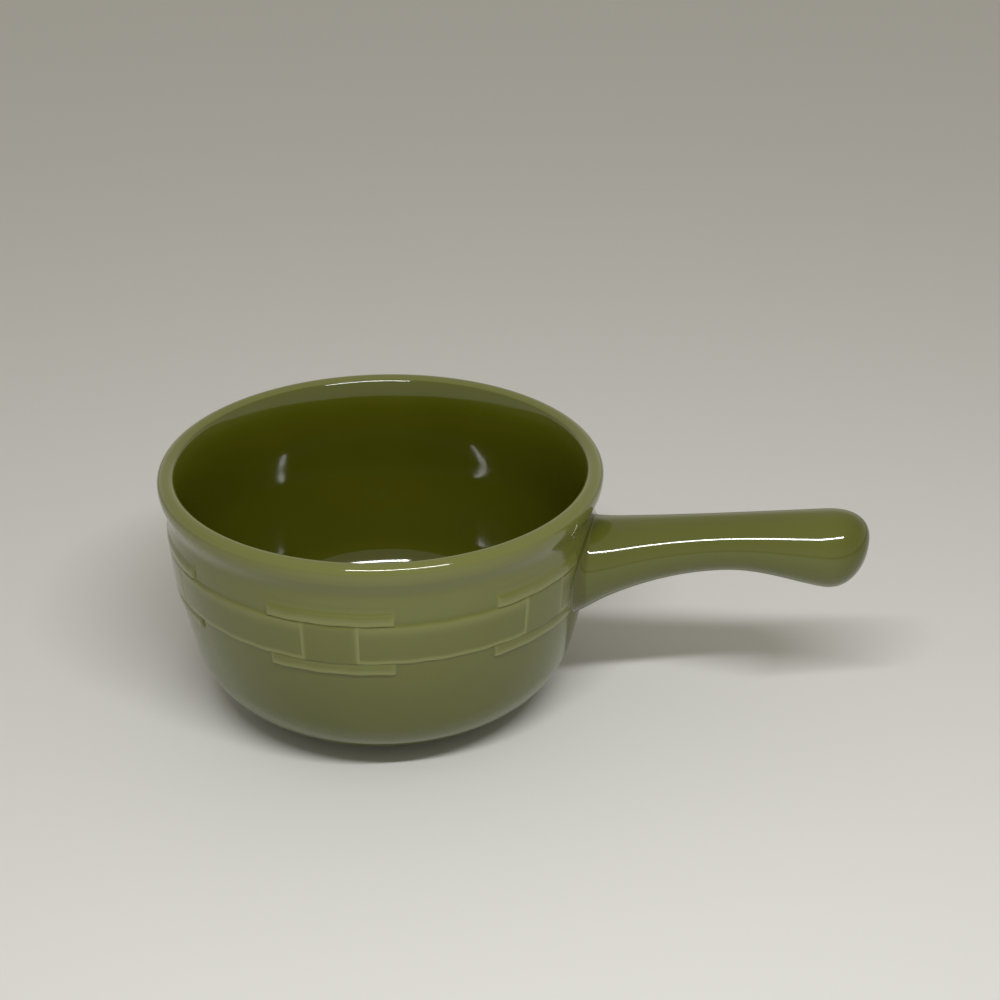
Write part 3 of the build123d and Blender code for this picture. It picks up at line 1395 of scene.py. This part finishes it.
@dataclass
class StickHandle:
    """The handle, with the fillet that joins it to the wall."""

    form: HandleForm
    coat: GlazeAndLightCoat
    columns: int = 96
    fillet_rows: int = 16
    shaft_rows: int = 44
    dome_rows: int = 16
    bury: float = 0.6 * MM
    lift: float = 0.004 * MM
    vent_radius: float = 1.5 * MM
    vent_distance: float = 18.0 * MM
    vent_depth: float = 4.0 * MM
    vent_sides: int = 48
    crease: float = 60.0

    def pierce(self, handle: bpy.types.Object) -> None:
        """Sink the kiln vent into the underside of the handle.

        Args:
            handle: The closed handle.
        """
        start_alone()
        bpy.ops.mesh.primitive_cylinder_add(
            vertices=self.vent_sides,
            radius=self.vent_radius,
            depth=2 * self.vent_depth,
            location=self.form.outline(self.vent_distance, -math.pi / 2),
        )
        drill = bpy.context.object
        start_alone()
        handle.select_set(True)
        bpy.context.view_layer.objects.active = handle
        bpy.ops.object.modifier_add(type="BOOLEAN")
        cut = handle.modifiers[-1]
        cut.object = drill
        bpy.ops.object.modifier_apply(modifier=cut.name)
        start_alone()
        drill.select_set(True)
        bpy.ops.object.delete()

    def build(self) -> bpy.types.Object:
        """Shape the handle.

        Returns:
            The handle.
        """
        form = self.form
        dome_start = form.length - form.dome_length
        rows = 1 + self.fillet_rows + self.shaft_rows + self.dome_rows

        def place(column: int, row: int) -> Vector:
            """Place a point of the handle, from inside the wall to the tip.

            Args:
                column: Number of the point round the section.
                row: Number of the point along the handle.

            Returns:
                The point.
            """
            turn = FULL_TURN * (column % self.columns) / self.columns
            if row == 0:
                rest, normal = form.wall_ring(turn)
                return rest - normal * self.bury
            if row <= self.fillet_rows + 1:
                share = (row - 1) / self.fillet_rows
                _, normal = form.wall_ring(turn)
                return form.fillet(turn, share) + normal * self.lift * (1 - share)
            along = row - self.fillet_rows - 1
            if along <= self.shaft_rows:
                run = form.fillet_run(turn)
                return form.outline(run + (dome_start - run) * along / self.shaft_rows, turn)
            dome_turn = math.pi / 2 * (along - self.shaft_rows) / self.dome_rows
            return form.outline(dome_start + form.dome_length * math.sin(dome_turn), turn)

        handle = mapped_grid("stick_handle", self.columns, rows, place)
        close_up(handle)
        bpy.ops.object.mode_set(mode="EDIT")
        bpy.ops.mesh.select_all(action="DESELECT")
        bpy.ops.mesh.select_mode(type="EDGE")
        bpy.ops.mesh.select_non_manifold(extend=False)
        bpy.ops.mesh.edge_face_add()
        bpy.ops.object.mode_set(mode="OBJECT")
        self.pierce(handle)
        write_curve(handle, self.glaze_and_light_bend)
        smooth(handle, self.crease)
        return handle

    def glaze_and_light_bend(self, point: Vector) -> float:
        """Glaze pooled in the fillet with painted shade there, and thicker again over the tip.

        Args:
            point: Point of the handle.

        Returns:
            The coat there, above 0 where thin.
        """
        form = self.form
        from_wall = smoother((point.x - form.root_x) / form.side_run)
        to_tip = smoother((form.tip - point.x) / form.dome_length)
        # Pooled glaze and painted shade in the fillet, thin glaze along the shaft.
        return self.coat.fillet * (1 - from_wall) + self.coat.handle_thin * from_wall * to_tip

    def dress(self, finish: bpy.types.Material) -> None:
        """Build the handle in its glaze."""
        hand_in(self.build(), finish, Slot.GLAZE, ["handle", "handle_slip"])


@dataclass(frozen=True)
class Studio:
    """Pale floor, soft light, strip light and camera."""

    camera_place: tuple[float, float, float] = (0.14075, -0.5488, 0.3574)
    camera_aim: tuple[float, float, float] = (-0.1636, 0.8742, -0.4571)
    lens: float = 72.0
    sensor: float = 36.0
    floor_radius: float = 6.0
    floor_sides: int = 96
    floor_colour: Colour = (0.80, 0.80, 0.785, 1.0)
    floor_roughness: float = 0.6
    strip_place: tuple[float, float, float] = (0.15, -0.355, 0.545)
    strip_aim: tuple[float, float, float] = (0.03, 0.0, 0.04)
    strip_size: tuple[float, float] = (0.43, 0.03)
    strip_power: float = 2.4
    fill: tuple[float, float] = (0.33, 0.36)
    fill_heights: tuple[float, float] = (0.0, 1.0)
    fill_colour: Colour = (1.0, 0.95, 0.83, 1.0)
    shown: tuple[float, float] = (0.62, 0.43)
    shown_heights: tuple[float, float] = (0.1, 0.5)

    def floor(self) -> None:
        """Lay the floor."""
        start_alone()
        bpy.ops.mesh.primitive_circle_add(
            vertices=self.floor_sides, radius=self.floor_radius, fill_type="NGON"
        )
        floor = bpy.context.object
        floor.name = "studio_floor"
        material = bpy.data.materials.new("pale_floor")
        material.use_nodes = True
        shader = material.node_tree.nodes["Principled BSDF"]
        shader.inputs["Base Color"].default_value = self.floor_colour
        shader.inputs["Roughness"].default_value = self.floor_roughness
        floor.data.materials.append(material)

    def world(self) -> None:
        """Set the soft surrounding light, dimmer overhead, and the paler surround that the eye sees."""
        world = bpy.data.worlds.new("soft_surround")
        bpy.context.scene.world = world
        world.use_nodes = True
        bench = NodeBench(world.node_tree)
        background = world.node_tree.nodes["Background"]
        background.inputs["Color"].default_value = self.fill_colour
        direction = bench.add("SeparateXYZ")
        bench.link(bench.add("TexCoord").outputs["Generated"], direction.inputs[0])
        path = bench.add("LightPath")
        seen = bench.math("MAXIMUM", path.outputs["Is Camera Ray"], path.outputs["Is Glossy Ray"])
        level = bench.add("Mix")
        bench.link(seen, level.inputs["Factor"])
        for heights, levels, socket in (
            (self.fill_heights, self.fill, "A"),
            (self.shown_heights, self.shown, "B"),
        ):
            slope = bench.add(
                "MapRange", From_Min=heights[0], From_Max=heights[1], To_Min=levels[0], To_Max=levels[1]
            )
            bench.link(direction.outputs["Z"], slope.inputs["Value"])
            bench.link(slope.outputs["Result"], level.inputs[socket])
        bench.link(level.outputs["Result"], background.inputs["Strength"])

    def strip(self) -> None:
        """Hang the strip light above the camera."""
        data = bpy.data.lights.new("strip", "AREA")
        data.shape = "RECTANGLE"
        data.size, data.size_y = self.strip_size
        data.energy = self.strip_power
        strip = bpy.data.objects.new("strip", data)
        bpy.context.scene.collection.objects.link(strip)
        strip.location = self.strip_place
        aim = Vector(self.strip_aim) - strip.location
        strip.rotation_euler = aim.to_track_quat("-Z", "Y").to_euler()

    def camera(self) -> None:
        """Stand the camera where the photograph was taken from."""
        data = bpy.data.cameras.new("camera")
        data.lens = self.lens
        data.sensor_width = self.sensor
        camera = bpy.data.objects.new("camera", data)
        bpy.context.scene.collection.objects.link(camera)
        camera.location = self.camera_place
        camera.rotation_euler = Vector(self.camera_aim).to_track_quat("-Z", "Y").to_euler()
        bpy.context.scene.camera = camera

    def build(self) -> None:
        """Set up the whole studio."""
        bpy.context.scene.view_settings.view_transform = "Standard"
        self.floor()
        self.world()
        self.strip()
        self.camera()


def main() -> None:
    """Build and dress every piece, then the studio."""
    logging.basicConfig(level=logging.INFO, format="%(name)s: %(message)s")
    wall = WallForm.from_frame()
    handle = HandleForm.from_frame(wall)
    glaze = SageGlaze().build()
    coat = GlazeAndLightCoat()
    TurnedBowl(wall, coat).dress(glaze)
    FootRing().dress(BareClay().build())
    WeaveBand(wall, handle, coat).dress(glaze)
    StickHandle(handle, coat).dress(glaze)
    Studio().build()


if __name__ == "__main__":
    main()
